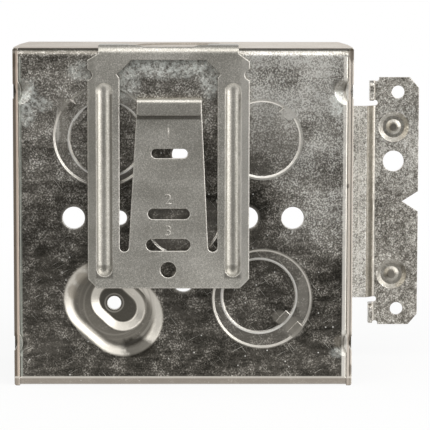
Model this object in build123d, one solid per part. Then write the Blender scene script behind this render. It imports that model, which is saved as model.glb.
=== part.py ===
from build123d import *
import os

# Square steel outlet box, welded from folded zinc-coated sheet. Millimetres.
# +Y points into the box, from its closed back to its open front. +Z is up.
# The origin is the centre of the back's outer face.

# Box
box_side = 101.6
box_depth = 54.0
box_sheet = 1.6
box_bend = 2.5                # outer radius of every fold in the box's sheet
half = box_side / 2
inside = half - box_sheet     # from the centre to a wall's inner face
ear_depth = 4.2               # how far a side plate's full height runs in from the back
corner_cut = (1.4, 24.0)      # taper of the top and bottom walls at their front corners

# Side plates
flange_reach = 11.0           # from a plate's outer face to its flange's edge
flange_gap = 0.8              # relief at each end of a flange
screw_at = 42.3               # cover screw's distance from the centre, along X and Z
tab_size = (14.4, 13.6)       # cover-screw tab, along X and Z
tab_relief = 0.8
tapped_radius = 2.10          # 8-32 hole in the tab

# Knockouts
half_inch_knockout = 11.3
single_knockout = 11.6
three_quarter_knockout = 14.85
knockout_step = 0.45          # how far a disc stands in from the sheet round it
knockout_slope = 0.5          # rolled edge of the shear, seen from outside
tie_size = (4.6, 4.4)         # across and along the neck of sheet that a disc still hangs by
double_offset = (0.9, 0.8)    # how far the small disc sits towards the box's centre

# Holes in the back
outer_pair = 32.8             # from the centre, along X
inner_pair = 19.05            # from the centre, along X and Z
mounting_radius = 3.35
small_radius = 2.2

# Raised ground seat, pressed in from the back in two steps
ground_outer = ((-24.1, -24.6), (-17.9, -30.1))
ground_inner = ((-21.1, -25.0), (-18.2, -27.7))
ground_hole = (-20.8, -26.1)
ground_radius = 2.08
ground_radii = (11.9, 8.9, 6.7, 4.2)    # first step's mouth and foot, then the second's
ground_depths = (1.5, 3.1)
ground_flares = (2.6, 1.6)              # rolled edge at each step's mouth
ground_feet = (4.4, 1.6)                # rounding at each step's foot
ground_grow = 0.6                       # the inner skin's radii are larger by this

# Stake marks that lock the side plates to the back
stake_height = 37.9
stake_radius = 3.3
stake_depth = 0.8
stake_push = 0.9              # how far a plate's edge is driven inwards
stake_centre = half - stake_push + stake_radius
dish_radius = 4.1             # rim of the dish that the stake leaves in the back
dish_sphere = (dish_radius**2 + stake_depth**2) / (2 * stake_depth)
back_edge = 0.6               # rolled edge of the back beside each side plate

# Stud bracket on the right wall
bracket_sheet = 1.2
bracket_web = 48.8            # middle of the web's sheet along Y
bracket_face = 51.2           # middle of the face plate's sheet along Y
leg_start = 24.0
web_half = 30.7
plate_half = 39.75
plate_edge = 75.1
plate_chamfer = (2.9, 3.4)
joggle = (58.6, 60.6)
tab_middle = 59.7
tab_span = (32.5, 38.7)
tab_end = 44.6
nail_holes = ((68.45, 35.05), (68.45, -34.65))
nail_radius = 2.05
bracket_hole = (67.1, 12.95)
notch = (69.9, 3.3)           # tip of the V along X, and half its mouth
dimple_at = ((67.1, 23.9), (66.8, -23.4))

# Far-side support over the back
clip_sheet = 0.9
clip_gap = 1.3                # air between the support and the back
clip_middle = -4.4
clip_half = 24.1
clip_neck = 20.85
clip_bottom = -21.0
clip_corner = 2.8
shoulders = (46.9, 47.3)      # right and left
side_notch = (42.9, 1.6)
hook_bend = 2.0
hook_reach = 9.0
hook_gap = (11.9, 7.4)        # half the gap between the hook's ends, on the top wall and at the fold
hook_gap_at = (1.5, -1.25)    # where along Y the gap has those widths
window_top = 47.3
window_half = 14.6
slot_bottom = -8.6
tongue_root = (-16.3, 7.4)
tongue_tip = (-13.8, 5.4)
tongue_top = 34.6
lip_foot = 30.9
lip_bend = 1.05
groove_span = (40.6, -17.5)
groove_at = (-23.55, 14.85)
groove_half = 2.35
groove_depth = 1.1
tongue_slots = ((-4.1, 19.5, 10.8, 2.8), (-4.3, 1.4, 12.5, 3.2), (-4.5, -7.9, 13.2, 3.6))
clip_hole = (-4.5, -15.4)
clip_hole_radius = 2.35

# Cover screws, 8-32 by half an inch
shank_radius = 2.05
shank_length = 12.7
head_radius = 3.95
head_height = 2.3
head_gap = 1.3                # head stands this far off its tab
recess = (1.1, 1.2, 4.4)      # width, depth and cross length of the driver recess


def block(x, y, z):
    """A box between two limits along each axis."""
    size = (x[1] - x[0], y[1] - y[0], z[1] - z[0])
    return Pos((x[0] + x[1]) / 2, (y[0] + y[1]) / 2, (z[0] + z[1]) / 2) * Box(*size)


def rod(x, z, radius, y):
    """A cylinder along Y between two limits."""
    return Pos(x, (y[0] + y[1]) / 2, z) * Rot(90, 0, 0) * Cylinder(radius, y[1] - y[0])


def cone(x, z, near, far, y):
    """A cone along Y whose radius goes from near to far between two limits."""
    return Pos(x, (y[0] + y[1]) / 2, z) * Rot(-90, 0, 0) * Cone(near, far, y[1] - y[0])


def prism(points, y):
    """An outline in X and Z, thick along Y."""
    outline = make_face(Polyline(*[(px, 0, pz) for px, pz in points], close=True))
    return Pos(0, y[0], 0) * extrude(outline, y[1] - y[0], dir=(0, 1, 0))


def folded(points, sheet, radius, length):
    """Sheet along a bent line in the XY plane, thick along Z and centred on it."""
    line = FilletPolyline(*points, radius=radius)
    return Pos(0, 0, -length / 2) * extrude(trace(line, sheet), length)


def knocked_disc(radius, step):
    """What one sheared disc takes from a wall's outer face and adds to its inner face."""
    pocket = Pos(0, 0, step / 2) * Cone(radius, radius - knockout_slope, step)
    boss = Pos(0, 0, box_sheet + step / 2) * Cylinder(radius - knockout_slope / 2, step)
    return pocket, boss


def tie(radius, angle):
    """The neck of sheet that a disc still hangs by."""
    across, along = tie_size
    return Rot(0, 0, angle) * Pos(radius, 0, box_sheet / 2) * Box(across, along, 4 * box_sheet)


def single(radius, angle):
    pocket, boss = knocked_disc(radius, knockout_step)
    neck = tie(radius, angle)
    return pocket - neck, boss - neck


def double(offset, angle):
    """A small disc inside a large one, off its centre."""
    outer_pocket, outer_boss = single(three_quarter_knockout, angle)
    place = Pos(offset[0], offset[1], 0)
    inner_pocket, inner_boss = knocked_disc(half_inch_knockout, 2 * knockout_step)
    neck = tie(half_inch_knockout, angle)
    return (
        outer_pocket + place * (inner_pocket - neck),
        outer_boss + place * (inner_boss - neck),
    )


def press(wall, plane, marks):
    """Press knockouts into a wall whose outer face is the plane, facing inwards."""
    for u, v, (pocket, boss) in marks:
        place = plane * Pos(u, v, 0)
        wall = wall - place * pocket + place * boss
    return wall


def round_ended(ends, near, far, y):
    """A slot with sloping sides: a cone at each end and a tapered bar between them."""
    (x0, z0), (x1, z1) = ends
    apart = Vector(x1 - x0, 0, z1 - z0)
    solid = cone(x0, z0, near, far, y) + cone(x1, z1, near, far, y)
    along = Plane(origin=(x0, y[0], z0), x_dir=(0, 1, 0), z_dir=apart)
    depth = y[1] - y[0]
    section = Polyline((0, -near), (depth, -far), (depth, far), (0, near), close=True)
    return solid + extrude(along * make_face(section), apart.length)


def rolled_hollow(ends, near, far, y, mouth, foot):
    """The form that presses a round-ended hollow, with a rolled mouth and a rounded foot."""
    (x0, z0), (x1, z1) = ends
    apart = Vector(x1 - x0, 0, z1 - z0)
    rim = near + 1
    start = y[0] - 0.5
    floor = FilletPolyline((rim, y[0]), (near, y[0]), (far, y[1]), (0, y[1]), radius=[mouth, foot])
    section = make_face(floor + Polyline((0, y[1]), (0, start), (rim, start), (rim, y[0])))
    across = (apart.Z, 0, -apart.X)
    first = Plane(origin=(x0, 0, z0), x_dir=across, z_dir=apart)
    last = Plane(origin=(x1, 0, z1), x_dir=across, z_dir=apart)
    solid = revolve(first * section, Axis((x0, 0, z0), (0, 1, 0)), 180)
    solid += revolve(last * section, Axis((x1, 0, z1), (0, -1, 0)), 180)
    return solid + extrude(first * (section + mirror(section, Plane.YZ)), apart.length)


def ground_front():
    """What the raised ground seat takes from the back's outer face."""
    near, lip, mid, low = ground_radii
    shallow, deep = ground_depths
    first = rolled_hollow(ground_outer, near, lip, (0, shallow), ground_flares[0], ground_feet[0])
    second = rolled_hollow(ground_inner, mid, low, (shallow, deep), ground_flares[1], ground_feet[1])
    return first + second


def ground_rear():
    """What the raised ground seat adds to the back's inner face."""
    near, lip, mid, low = [radius + ground_grow for radius in ground_radii]
    shallow, deep = [box_sheet + depth for depth in ground_depths]
    first = round_ended(ground_outer, near, lip, (box_sheet, shallow))
    second = round_ended(ground_inner, mid, low, (shallow, deep))
    return first + second


def rolled_edge(side):
    """What the rolled shear beside a side plate takes off the back's edge, between the folds."""
    reach = half - box_bend
    start = side * (inside - back_edge)
    corner = block(sorted((start, side * inside)), (0, back_edge), (-reach, reach))
    return corner - Pos(start, back_edge, 0) * Cylinder(back_edge, 2 * reach)


def box_body():
    """Back, top and bottom in one folded sheet."""
    middle = box_sheet / 2
    reach = half - middle
    profile = [(box_depth, reach), (middle, reach), (middle, -reach), (box_depth, -reach)]
    sheet = folded(profile, box_sheet, box_bend - middle, box_side)
    # The profile's Y is the box's height, and its X is the depth.
    sheet = Plane(origin=(0, 0, 0), x_dir=(0, 1, 0), z_dir=(1, 0, 0)) * sheet
    for side in (-1, 1):
        sheet -= block(sorted((side * inside, side * half)), (0, ear_depth), (-half, half))
        taper = [
            (side * half, box_depth - corner_cut[1]),
            (side * (half - corner_cut[0]), box_depth),
            (side * half, box_depth),
        ]
        outline = make_face(Polyline(*[(px, py, 0) for px, py in taper], close=True))
        sheet -= Pos(0, 0, -half) * extrude(outline, box_side, dir=(0, 0, 1))

        sheet -= rolled_edge(side)

    back = Plane(origin=(0, 0, 0), x_dir=(1, 0, 0), z_dir=(0, 1, 0))
    ox, oz = double_offset
    marks = [
        (-23.9, -24.4, double((ox, oz), 220)),
        (23.7, 24.4, double((-ox, -oz), 43)),
        (23.6, -23.6, single(single_knockout, 315)),
        (0, 0, single(single_knockout, 320)),
    ]
    sheet = press(sheet, back, marks)
    top = Plane(origin=(0, box_depth * 0.52, half), x_dir=(1, 0, 0), z_dir=(0, 0, -1))
    bottom = Plane(origin=(0, box_depth * 0.52, -half), x_dir=(1, 0, 0), z_dir=(0, 0, 1))
    for wall in (top, bottom):
        sheet = press(sheet, wall, [(0, 0, single(three_quarter_knockout, 90))])

    sheet += ground_rear()
    sheet -= ground_front()
    drill = (-1, 10)
    sheet -= rod(*ground_hole, ground_radius, drill)
    for side in (-1, 1):
        sheet -= rod(side * outer_pair, 0, mounting_radius, drill)
        sheet -= rod(0, side * inner_pair, mounting_radius, drill)
        for height in (-stake_height, stake_height):
            sheet -= Pos(side * inside, stake_depth - dish_sphere, height) * Sphere(dish_sphere)
            sheet -= rod(side * stake_centre, height, stake_radius + box_sheet, (-1, stake_depth))
    sheet -= rod(inner_pair, 0, mounting_radius, drill)
    sheet -= rod(-inner_pair, 0, small_radius, drill)
    return sheet


def stake(side, height):
    """A driven-in bit of a side plate's edge: what it takes off outside, and adds inside."""
    scoop = rod(side * stake_centre, height, stake_radius, (0, 2.4))
    bulge = rod(side * stake_centre, height, stake_radius + box_sheet, (0, stake_depth)) - scoop
    bulge &= block(sorted((side * (inside - 1.5), side * half)), (0, stake_depth), (-half, half))
    return scoop, bulge


def side_plate(side, screw_side):
    """A side wall with flanges tucked under the top and bottom walls, and a tapped tab."""
    outer = block((0, flange_reach), (0, box_depth), (-inside, inside))
    hollow = block((box_sheet, flange_reach), (0, box_depth), (-inside + box_sheet, inside - box_sheet))
    outer = fillet(outer.edges().filter_by(Axis.Y).group_by(Axis.X)[0], box_bend)
    hollow = fillet(hollow.edges().filter_by(Axis.Y).group_by(Axis.X)[0], box_bend - box_sheet)
    plate = outer - hollow
    folds = (box_sheet, flange_reach)
    plate -= block(folds, (0, ear_depth + flange_gap), (-half, half))
    plate -= block(folds, (box_depth - flange_gap, box_depth), (-half, half))
    ear = block((0, box_sheet), (0, ear_depth), (-half, half))
    ear = fillet(ear.edges().filter_by(Axis.Y).group_by(Axis.X)[0], 0.7)
    plate += ear

    # Cover-screw tab, folded in at the front corner.
    reach, width = tab_size
    low = inside - box_sheet - flange_gap - width
    high = low + width
    middle = box_sheet / 2
    line = [(middle, box_depth - 8), (middle, box_depth - middle), (reach, box_depth - middle)]
    tab = Pos(0, 0, (low + high) / 2) * folded(line, box_sheet, box_bend - middle, width)
    front = (box_depth - box_bend - tab_relief, box_depth)
    plate -= block((0, box_sheet), (box_depth - box_bend, box_depth), (low, high))
    for edge in (low - tab_relief, high):
        plate -= block((0, box_sheet), front, (edge, edge + tab_relief))
    corner = tab.edges().filter_by(Axis.Y).group_by(Axis.X)[-1]
    tab = chamfer(corner.sort_by(Axis.Z)[0], 5.5)
    tab -= rod(half - screw_at, screw_at, tapped_radius, (box_depth - 5, box_depth + 1))
    plate += tab

    if screw_side < 0:
        plate = mirror(plate, Plane.XY)
    plate = Pos(-half, 0, 0) * plate
    if side > 0:
        plate = mirror(plate, Plane.YZ)
    for height in (-stake_height, stake_height):
        scoop, bulge = stake(side, height)
        plate = plate - scoop + bulge
    return plate


def left_side_plate():
    plate = side_plate(-1, 1)
    wall = Plane(origin=(-half, box_depth * 0.52, 0), x_dir=(0, 0, 1), z_dir=(1, 0, 0))
    return press(plate, wall, [(0, 0, single(three_quarter_knockout, 90))])


def right_side_plate():
    return side_plate(1, -1)


def dimple(x, z):
    """A ringed pimple pressed into the bracket's face: pocket in front, boss behind."""
    face = bracket_face - bracket_sheet / 2
    front = [(0, 0), (4.8, 0), (3.5, 0.9), (2.4, 0.9), (1.1, 0.3), (0, 0.3)]
    rear = [(0, 0), (5.2, 0), (3.9, 0.9), (1.0, 0.9), (1.0, 0.4), (0, 0.4)]
    place = Plane(origin=(x, face, z), x_dir=(1, 0, 0), z_dir=(0, 1, 0))
    pocket = revolve(Plane.XZ * make_face(Polyline(*front, close=True)), Axis.Z)
    boss = revolve(Plane.XZ * make_face(Polyline(*rear, close=True)), Axis.Z)
    return place * pocket, place * Pos(0, 0, bracket_sheet) * boss


def stud_bracket():
    """Leg welded to the wall, web, joggle and face plate in one folded sheet."""
    middle = bracket_sheet / 2
    line = [
        (half + middle, leg_start),
        (half + middle, bracket_web),
        (joggle[0], bracket_web),
        (joggle[1], bracket_face),
        (plate_edge, bracket_face),
    ]
    sheet = folded(line, bracket_sheet, 1.3, 2 * plate_half)
    faces = (bracket_face - middle, bracket_face + middle)
    for side in (-1, 1):
        beyond = sorted((side * web_half, side * plate_half))
        sheet -= block((0, joggle[1] + 0.6), (0, box_depth), beyond)
        fold = [(joggle[1] + 3, bracket_face), (tab_middle, bracket_face), (tab_middle, tab_end)]
        low, high = sorted((side * tab_span[0], side * tab_span[1]))
        tab = Pos(0, 0, (low + high) / 2) * folded(fold, bracket_sheet, 1.3, high - low)
        ends = tab.edges().filter_by(Axis.X).group_by(Axis.Y)[0]
        sheet += fillet(ends, 1.6)
        relief = (joggle[1] + 0.9, side * (tab_span[1] + 0.75))
        sheet -= rod(*relief, 0.95, (0, box_depth))
        relief = (joggle[1] + 0.5, side * (web_half + tab_span[0]) / 2)
        sheet -= rod(*relief, (tab_span[0] - web_half) / 2, (0, box_depth))
        corner = [
            (plate_edge, side * (plate_half - plate_chamfer[1])),
            (plate_edge - plate_chamfer[0], side * plate_half),
            (plate_edge, side * plate_half),
        ]
        sheet -= prism(corner, faces)
    tip, mouth = notch
    wide = mouth * (plate_edge + 1 - tip) / (plate_edge - tip)
    sheet -= prism([(tip, 0), (plate_edge + 1, wide), (plate_edge + 1, -wide)], faces)
    for x, z in nail_holes:
        sheet -= rod(x, z, nail_radius, (0, 60))
    sheet -= rod(*bracket_hole, mounting_radius, (0, 60))
    for x, z in dimple_at:
        pocket, boss = dimple(x, z)
        sheet = sheet - pocket + boss
    return sheet


def capsule(x, z, radius, centre):
    """A round-ended bar along Z, for a pressed groove."""
    low, high = z[1] + groove_half, z[0] - groove_half
    bar = Pos(x, centre, (low + high) / 2) * Cylinder(radius, high - low)
    for end in (low, high):
        bar += Pos(x, centre, end) * Sphere(radius)
    return bar


def far_side_support():
    """A flat stamping hooked over the top wall, with ribbed legs and a tongue to bend out."""
    rear = -clip_gap
    front = rear - clip_sheet
    faces = (front, rear)
    middle = rear - clip_sheet / 2
    hook_height = half + clip_sheet / 2
    turn = hook_height - hook_bend
    outline = [
        (clip_half, clip_bottom + clip_corner),
        (clip_half, shoulders[0]),
        (clip_neck, turn),
        (-clip_neck, turn),
        (-clip_half, shoulders[1]),
        (-clip_half, clip_bottom + clip_corner),
        (-clip_half + clip_corner, clip_bottom),
        (clip_half - clip_corner, clip_bottom),
    ]
    sheet = prism([(clip_middle + x, z) for x, z in outline], faces)

    # Hook: the sheet turns over the box's top edge, and its two ends lie on the top wall.
    line = [(middle, turn - 1), (middle, hook_height), (hook_reach, hook_height)]
    hook = folded(line, clip_sheet, hook_bend, 2 * clip_neck)
    hook = Plane(origin=(clip_middle, 0, 0), x_dir=(0, 1, 0), z_dir=(1, 0, 0)) * hook
    hook &= block((-40, 40), (front, hook_reach), (turn, hook_height + 1))
    wide, narrow = hook_gap
    far, near = hook_gap_at
    gap = [
        (-wide, hook_reach + 1),
        (-wide, far),
        (-narrow, near),
        (narrow, near),
        (wide, far),
        (wide, hook_reach + 1),
    ]
    gap = make_face(Polyline(*[(clip_middle + x, y, 0) for x, y in gap], close=True))
    sheet += hook - Pos(0, 0, turn) * extrude(gap, hook_bend + 1, dir=(0, 0, 1))

    left, right = clip_middle - window_half, clip_middle + window_half
    window = [
        (left, slot_bottom),
        (left, 42.0),
        (left - 0.8, 43.0),
        (left + 1.0, 44.6),
        (left + 3.5, window_top),
        (right - 3.4, window_top),
        (right + 1.0, 43.1),
        (right, 42.0),
        (right, slot_bottom),
    ]
    sheet -= prism(window, faces)
    tongue = [
        (tongue_root[0], slot_bottom),
        (tongue_tip[0], tongue_top),
        (tongue_tip[1], tongue_top),
        (tongue_root[1], slot_bottom),
    ]
    sheet += prism(tongue, faces)
    for wall, edge in ((left, tongue_root[0]), (right, tongue_root[1])):
        sheet -= rod((wall + edge) / 2, slot_bottom, abs(edge - wall) / 2, faces)

    # Lip: the tongue's end is folded towards the back of the wall and down.
    outer = front + clip_sheet / 2 - 2 * lip_bend
    line = [(middle, tongue_top - 1), (middle, tongue_top + 1), (outer, tongue_top + 1), (outer, lip_foot)]
    width = tongue_tip[1] - tongue_tip[0]
    lip = folded(line, clip_sheet, lip_bend - 0.02, width)
    lip = Plane(origin=((tongue_tip[0] + tongue_tip[1]) / 2, 0, 0), x_dir=(0, 1, 0), z_dir=(1, 0, 0)) * lip
    corners = lip.edges().filter_by(Axis.Y).group_by(Axis.Z)[0]
    sheet += fillet(corners, 1.1)

    # Ribs pressed towards the box.
    radius = (groove_half ** 2 + groove_depth ** 2) / (2 * groove_depth)
    centre = front - (radius - groove_depth)
    for x in groove_at:
        behind = block((x - 5, x + 5), (rear, rear + 2), (groove_span[1] - 5, groove_span[0] + 5))
        sheet += capsule(x, groove_span, radius + clip_sheet, centre) & behind
        sheet -= capsule(x, groove_span, radius, centre)

    for side in (-1, 1):
        sheet -= rod(clip_middle + side * (clip_half + 0.2), side_notch[0], side_notch[1], faces)
    for x, z, length, height in tongue_slots:
        cut = Plane(origin=(x, front, z), x_dir=(1, 0, 0), z_dir=(0, -1, 0)) * SlotOverall(length, height)
        sheet -= extrude(cut, 2 * clip_sheet, dir=(0, 1, 0))
    sheet -= rod(*clip_hole, clip_hole_radius, faces)
    return sheet


def cover_screw(x, z):
    """Pan-head screw with a slot and a cross, backed a little out of its tab."""
    seat = box_depth + head_gap
    tip = seat - shank_length
    crown = seat + head_height
    profile = [
        (0, tip),
        (shank_radius - 0.6, tip),
        (shank_radius, tip + 0.7),
        (shank_radius, seat),
        (head_radius, seat),
        (head_radius, seat + head_height * 0.45),
        (head_radius * 0.6, crown),
        (0, crown),
    ]
    screw = revolve(make_face(Polyline(*profile, close=True)), Axis.Y)
    width, depth, cross = recess
    deep = (crown - depth, crown + 1)
    screw -= block((-head_radius - 1, head_radius + 1), deep, (-width / 2, width / 2))
    screw -= block((-width / 2, width / 2), deep, (-cross / 2, cross / 2))
    return Pos(x, 0, z) * screw


pieces = {
    "box_body": box_body(),
    "left_side_plate": left_side_plate(),
    "right_side_plate": right_side_plate(),
    "stud_bracket": stud_bracket(),
    "far_side_support": far_side_support(),
    "upper_cover_screw": cover_screw(-screw_at, screw_at),
    "lower_cover_screw": cover_screw(screw_at, -screw_at),
}

os.makedirs("parts", exist_ok=True)
for name, piece in pieces.items():
    export_step(piece, f"parts/{name}.step")
    print(name, round(piece.volume, 1), "mm3")
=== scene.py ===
import math

import bmesh
import bpy
from mathutils import Matrix, Vector


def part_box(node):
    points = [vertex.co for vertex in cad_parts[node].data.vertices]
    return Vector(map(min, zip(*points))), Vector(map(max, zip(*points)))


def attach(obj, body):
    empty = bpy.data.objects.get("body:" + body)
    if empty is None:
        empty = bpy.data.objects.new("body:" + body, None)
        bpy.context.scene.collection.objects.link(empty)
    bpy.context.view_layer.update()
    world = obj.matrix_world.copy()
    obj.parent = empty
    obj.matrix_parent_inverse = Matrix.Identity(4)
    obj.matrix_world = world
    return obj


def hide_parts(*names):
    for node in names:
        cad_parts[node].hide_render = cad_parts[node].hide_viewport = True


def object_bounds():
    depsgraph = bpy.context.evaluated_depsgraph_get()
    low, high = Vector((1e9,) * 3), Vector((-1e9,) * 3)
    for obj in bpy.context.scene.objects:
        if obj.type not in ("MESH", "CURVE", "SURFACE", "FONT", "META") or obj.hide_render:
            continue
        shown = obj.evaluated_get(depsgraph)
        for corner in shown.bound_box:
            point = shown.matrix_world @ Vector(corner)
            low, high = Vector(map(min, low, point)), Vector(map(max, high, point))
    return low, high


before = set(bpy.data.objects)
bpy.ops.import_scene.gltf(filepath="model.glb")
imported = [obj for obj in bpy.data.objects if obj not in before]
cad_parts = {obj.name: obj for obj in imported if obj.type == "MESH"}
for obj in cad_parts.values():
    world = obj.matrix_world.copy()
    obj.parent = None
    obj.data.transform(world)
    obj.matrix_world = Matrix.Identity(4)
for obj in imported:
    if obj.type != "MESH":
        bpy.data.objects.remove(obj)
cadLow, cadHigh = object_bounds()
mm = 0.001


# Camera, matched to the photograph

camera = {
    "place": (1.4, -723.6, 77.3),      # mm, in front of the closed back
    "yaw": 0.0112,                     # radians, to the right
    "pitch": 0.1052,                   # radians, down
    "roll": 0.0018,
    "focalPixels": 2429.7,             # for an image 430 pixels wide
    "imageWidth": 430,
    "sensorWidth": 36,
    "clip": (0.05, 30),                # metres
}


def aimCamera():
    yaw, pitch, roll = camera["yaw"], camera["pitch"], camera["roll"]
    ahead = Vector((math.sin(yaw) * math.cos(pitch), math.cos(yaw) * math.cos(pitch), -math.sin(pitch)))
    right = Vector((math.cos(yaw), -math.sin(yaw), 0))
    up = right.cross(ahead)
    rolledRight = right * math.cos(roll) + up * math.sin(roll)
    rolledUp = up * math.cos(roll) - right * math.sin(roll)
    data = bpy.data.cameras.new("camera")
    data.sensor_fit = "HORIZONTAL"
    data.sensor_width = camera["sensorWidth"]
    data.lens = camera["focalPixels"] / camera["imageWidth"] * data.sensor_width
    data.clip_start, data.clip_end = camera["clip"]
    eye = bpy.data.objects.new("camera", data)
    turn = Matrix((rolledRight, rolledUp, -ahead)).transposed().to_4x4()
    eye.matrix_world = Matrix.Translation(Vector(camera["place"]) * mm) @ turn
    bpy.context.scene.collection.objects.link(eye)
    bpy.context.scene.camera = eye


aimCamera()
print("camera set")


# Small helpers

def toLinear(hexColour):
    # sRGB hex to the linear values that shader sockets take
    parts = [int(hexColour[i:i + 2], 16) / 255 for i in (0, 2, 4)]
    linear = [p / 12.92 if p <= 0.04045 else ((p + 0.055) / 1.055) ** 2.4 for p in parts]
    return (*linear, 1)


def addNode(tree, kind, settings=None, inputs=None, output=0):
    # inputs: socket name or number -> a value, a hex colour, or an output socket to link from
    node = tree.nodes.new(kind)
    for name, value in (settings or {}).items():
        setattr(node, name, value)
    for socket, value in (inputs or {}).items():
        if isinstance(value, bpy.types.NodeSocket):
            tree.links.new(value, node.inputs[socket])
        elif isinstance(value, str):
            node.inputs[socket].default_value = toLinear(value)
        else:
            node.inputs[socket].default_value = value
    return node.outputs[output] if len(node.outputs) else node


def newMaterial(name):
    material = bpy.data.materials.new(name)
    material.use_nodes = True
    material.node_tree.nodes.clear()
    return material, material.node_tree


def dress(name, material):
    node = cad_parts[name]
    node.data.materials.clear()
    node.data.materials.append(material)


# Settings that many nodes share. A Mix node takes its share at 0. Its two colours go in at 6 and 7 and come
# out at 2, and its two plain values go in at 2 and 3.

multiply = {"operation": "MULTIPLY"}
multiplyAdd = {"operation": "MULTIPLY_ADD"}
maximum = {"operation": "MAXIMUM"}
absolute = {"operation": "ABSOLUTE"}
greater = {"operation": "GREATER_THAN"}
length = {"operation": "LENGTH"}
dot = {"operation": "DOT_PRODUCT"}
smoothStep = {"interpolation_type": "SMOOTHSTEP"}
colourMix = {"data_type": "RGBA"}


# Patterns that the zinc coatings share. Each gives an output that runs from 0 to 1.

def speckle(tree, place, sizeMm, low, high, detail=2.0, ragged=0.55):
    # patches about sizeMm across, cut out of noise between low and high
    noise = addNode(tree, "ShaderNodeTexNoise", None, {
        "Vector": place, "Scale": 1 / (sizeMm * mm), "Detail": detail, "Roughness": ragged})
    return addNode(tree, "ShaderNodeMapRange", None, {"Value": noise, "From Min": low, "From Max": high})


def ovals(tree, place, spots, frayMm=4.0, soft=0.9):
    # ovals in the X Z plane, frayed by noise: (x, z, half width, half height, strength) in mm
    rim = 1.5                          # the reach is 1 at an oval's rim, and the noise adds about a half
    fray = addNode(tree, "ShaderNodeTexNoise", None, {
        "Vector": place, "Scale": 1 / (frayMm * mm), "Detail": 5.0, "Roughness": 0.72})
    total = None
    for x, z, wide, high, strength in spots:
        centred = addNode(tree, "ShaderNodeMapping", None, {
            "Vector": place, "Location": (-x / wide, 0, -z / high),
            "Scale": (1 / (wide * mm), 0, 1 / (high * mm))})
        reach = addNode(tree, "ShaderNodeVectorMath", length, {0: centred}, "Value")
        frayed = addNode(tree, "ShaderNodeMath", {"operation": "ADD"}, {0: reach, 1: fray})
        spot = addNode(tree, "ShaderNodeMapRange", smoothStep, {
            "Value": frayed, "From Min": rim + soft / 2, "From Max": rim - soft / 2, "To Max": strength})
        total = spot if total is None else addNode(tree, "ShaderNodeMath", maximum, {0: total, 1: spot})
    return total


def reachFrom(tree, place, x, z):
    # distance in metres from a line along Y, through x and z in mm
    apart = addNode(tree, "ShaderNodeVectorMath", multiplyAdd, {
        0: place, 1: (1, 0, 1), 2: (-x * mm, 0, -z * mm)})
    return addNode(tree, "ShaderNodeVectorMath", length, {0: apart}, "Value")


def scratches(tree, place, lengthMm, widthMm, turn, rare):
    # short thin lines on the X Z plane, leaning by turn
    depthMm, soft = 25, 0.05
    along = addNode(tree, "ShaderNodeMapping", None, {"Vector": place, "Rotation": (0, turn, 0)})
    thin = addNode(tree, "ShaderNodeMapping", None, {
        "Vector": along, "Scale": (1 / (lengthMm * mm), 1 / (depthMm * mm), 1 / (widthMm * mm))})
    noise = addNode(tree, "ShaderNodeTexNoise", None, {"Vector": thin, "Scale": 1.0, "Detail": 1.0})
    return addNode(tree, "ShaderNodeMapRange", None, {
        "Value": noise, "From Min": rare, "From Max": rare + soft})


def faceBand(tree, value, low, high, fade):
    # 1 where value lies between low and high, fading outside them
    rise = addNode(tree, "ShaderNodeMapRange", None, {
        "Value": value, "From Min": low - fade, "From Max": low})
    fall = addNode(tree, "ShaderNodeMapRange", None, {
        "Value": value, "From Min": high + fade, "From Max": high})
    return addNode(tree, "ShaderNodeMath", multiply, {0: rise, 1: fall})


# Zinc-coated sheet. A look is a dictionary that stands above the material it is for.

zincGrowth = {
    # turned, so that no flat face lies along the noise's own grid
    "turned": {"Rotation": (0.61, 0.37, 0.83), "Location": (0.137, 0.213, 0.171)},
    "rolled": (0.1, 0.0137, 0.1),                 # metres, a shift of the rolling streaks' noise
    "cloudCut": (0.32, 0.68),
    "streakCut": (0.42, 0.68),
    "paleGrain": (0.7, 0.65),                     # how far a pale patch brings out its grain, and its least
    "crystal": (0.24, 0.1),                       # rim and heart of a bright crystal, in cells of the pattern
}
zincBloom = {
    "frayMm": 3.0, "soft": 0.7,
    "raggedMm": 1.4, "raggedCut": (0.4, 0.58),
    "lift": (0.8, 0.1),                           # strength of the ragged part, and the least everywhere
    "rough": 0.25,                                # how much rougher the bloom is
}
zincTint = {"frayMm": 2.0, "soft": 0.6, "depthMm": (-10, 2), "fadeMm": 1}
zincStretch = {
    "frayMm": 1.2, "soft": 0.15,
    "innerMm": 1.65,                              # the inner face lies deeper by a little over one sheet
    "slope": (0.999, 0.9),                        # cosines between which a flat turns into a slope
    "fadeMm": 0.12,
}
wornAndLitEdge = {
    "samples": 6,
    "sharp": (0.995, 0.86),                       # cosines between the plain normal and the rounded one
    # painted light on the edges: those that turn this way get a painted highlight, and the others painted
    # shade
    "lightFrom": (0.35, 0, 0.94),                 # edges that turn this way look bright, and others dark
    "lightFade": (-0.08, 0.04),
}


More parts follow.
